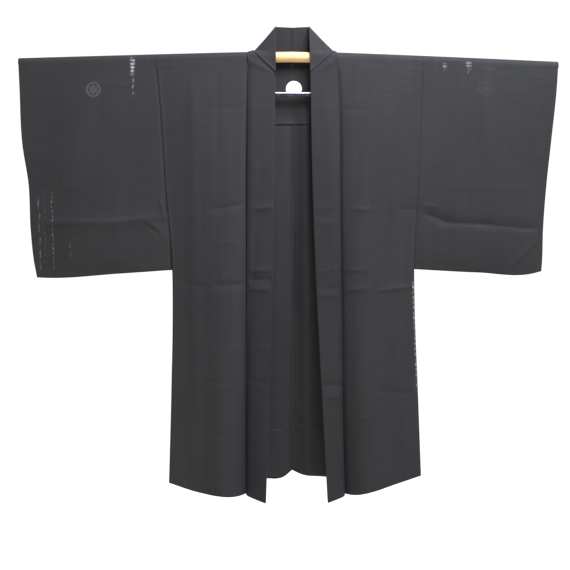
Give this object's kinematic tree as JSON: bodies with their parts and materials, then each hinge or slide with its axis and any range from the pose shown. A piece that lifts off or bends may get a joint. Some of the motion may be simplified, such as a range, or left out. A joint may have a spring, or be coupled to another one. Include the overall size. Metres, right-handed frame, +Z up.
{
  "type": "haori jacket on a hanging rod",
  "caption": "Straight-cut hip-length Japanese jacket with wide square sleeves and an open standing collar, hung flat over a wooden rod.",
  "frame": {"origin": "middle of the rod, where it is held up", "axes": "+Z up, front of the jacket faces -Y, +X is the wearer's left, along the rod"},
  "size_m": [1.2927, 0.0908, 1.1362],
  "materials": {
    "gauze": "sheer ribbed summer cloth, soft sheen",
    "collar_gauze": "doubled sheer ribbed summer cloth",
    "yoke_lining": "plain thin lining cloth",
    "pale_wood": "smooth, oiled",
    "dark_metal": "satin dark lacquer"
  },
  "bodies": {
    "root": {"body_left": "gauze", "body_right": "gauze", "sleeve_left": "gauze", "sleeve_right": "gauze", "gusset_left": "gauze", "gusset_right": "gauze", "collar": "collar_gauze", "back_yoke": "yoke_lining", "rod": "pale_wood", "lower_bar": "dark_metal", "link_left": "dark_metal", "link_right": "dark_metal"}
  },
  "joints": []
}
